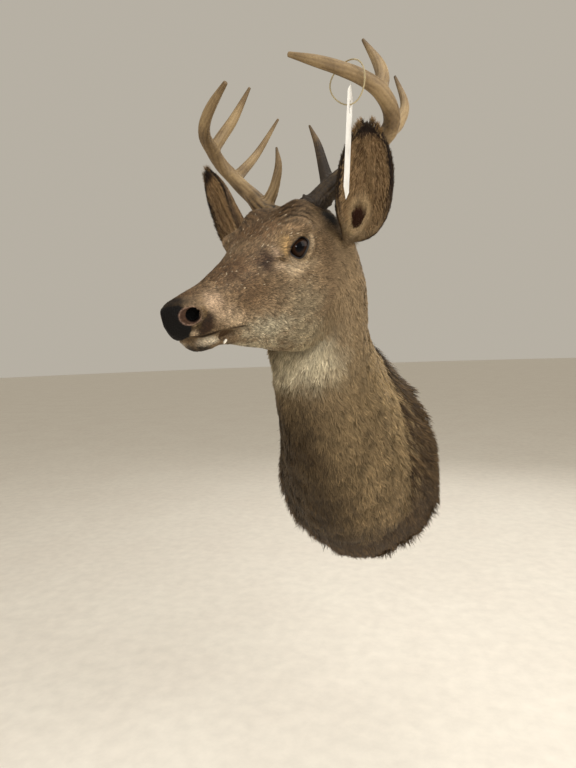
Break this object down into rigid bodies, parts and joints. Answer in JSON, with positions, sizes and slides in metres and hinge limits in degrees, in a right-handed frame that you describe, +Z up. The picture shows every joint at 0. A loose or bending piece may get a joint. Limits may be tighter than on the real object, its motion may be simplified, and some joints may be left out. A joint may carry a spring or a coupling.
{
  "type": "deer shoulder mount",
  "caption": "Life-size shoulder mount of a white-tailed buck, head turned to its right, with antlers, a card slip tied to one beam and a back board for hanging on a wall.",
  "frame": {"origin": "on the wall, in the middle of the back board's rear face; the rest of the mount lies at -Y of it", "axes": "+Z up; +Y into the wall, so the mount stands out toward -Y; +X toward the deer's left side"},
  "size_m": [0.3459, 0.5541, 0.8447],
  "materials": {
    "coat": "short grey-brown deer hair, dark brown at the hide's edge and pale at throat and muzzle",
    "nose": "black pebbled nose leather, satin",
    "eye": "dark brown glass eye, very glossy",
    "antler": "bone, tan to brown, smooth with fine grooves, dark at the base",
    "board": "plain plywood, unfinished",
    "hanger": "zinc-plated steel strip",
    "card": "blank white card slip",
    "tie": "thin pale plastic tie"
  },
  "bodies": {
    "root": {"nose": "nose", "muzzle": "coat", "lower_jaw": "coat", "head": "coat", "neck": "coat", "shoulders": "coat", "ear_left": "coat", "ear_right": "coat", "eye_left": "eye", "eye_right": "eye", "back_board": "board", "hanger": "hanger", "tag_slip": "card", "tag_tie": "tie", "antler_left_base": "antler", "antler_left_beam_lower": "antler", "antler_left_beam_upper": "antler", "antler_left_beam_tip": "antler", "antler_left_brow_tine": "antler", "antler_left_second_tine": "antler", "antler_left_third_tine": "antler", "antler_right_base": "antler", "antler_right_beam_lower": "antler", "antler_right_beam_upper": "antler", "antler_right_beam_tip": "antler", "antler_right_brow_tine": "antler", "antler_right_second_tine": "antler", "antler_right_third_tine": "antler"}
  },
  "joints": []
}
